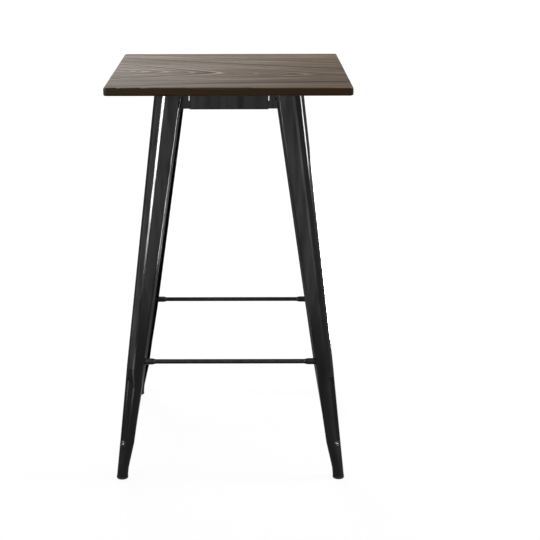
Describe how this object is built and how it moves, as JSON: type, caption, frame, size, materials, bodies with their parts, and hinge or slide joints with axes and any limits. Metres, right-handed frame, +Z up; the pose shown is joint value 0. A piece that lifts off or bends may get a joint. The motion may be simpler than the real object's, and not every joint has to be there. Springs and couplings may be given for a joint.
{
  "type": "pub table",
  "caption": "Tall square pub table: stained wood top on splayed pressed-steel legs with apron plates, stretcher rods and plastic foot glides.",
  "frame": {"origin": "on the floor, under the middle of the top", "axes": "+Z up; the pictured side faces -Y; +X to the viewer's right"},
  "size_m": [0.604, 0.604, 1.04],
  "materials": {
    "oak_stain": "dark grey-brown stain under a satin lacquer",
    "black_coat": "glossy black powder coat",
    "black_nylon": "moulded, slightly worn underneath",
    "zinc_steel": "zinc plated"
  },
  "bodies": {
    "root": {"tabletop": "oak_stain", "leg_front_left": "black_coat", "leg_front_right": "black_coat", "leg_rear_right": "black_coat", "leg_rear_left": "black_coat", "head_plate_front_left": "black_coat", "head_plate_front_right": "black_coat", "head_plate_rear_right": "black_coat", "head_plate_rear_left": "black_coat", "foot_glide_front_left": "black_nylon", "foot_glide_front_right": "black_nylon", "foot_glide_rear_right": "black_nylon", "foot_glide_rear_left": "black_nylon", "apron_front": "black_coat", "apron_right": "black_coat", "apron_rear": "black_coat", "apron_left": "black_coat", "stretcher_front": "black_coat", "stretcher_right": "black_coat", "stretcher_rear": "black_coat", "stretcher_left": "black_coat", "ferrule_front_a": "black_coat", "ferrule_front_b": "black_coat", "ferrule_right_a": "black_coat", "ferrule_right_b": "black_coat", "ferrule_rear_a": "black_coat", "ferrule_rear_b": "black_coat", "ferrule_left_a": "black_coat", "ferrule_left_b": "black_coat", "top_screws": "zinc_steel", "apron_bolts": "black_coat", "apron_nuts": "black_coat", "stretcher_screws": "black_coat"}
  },
  "joints": []
}
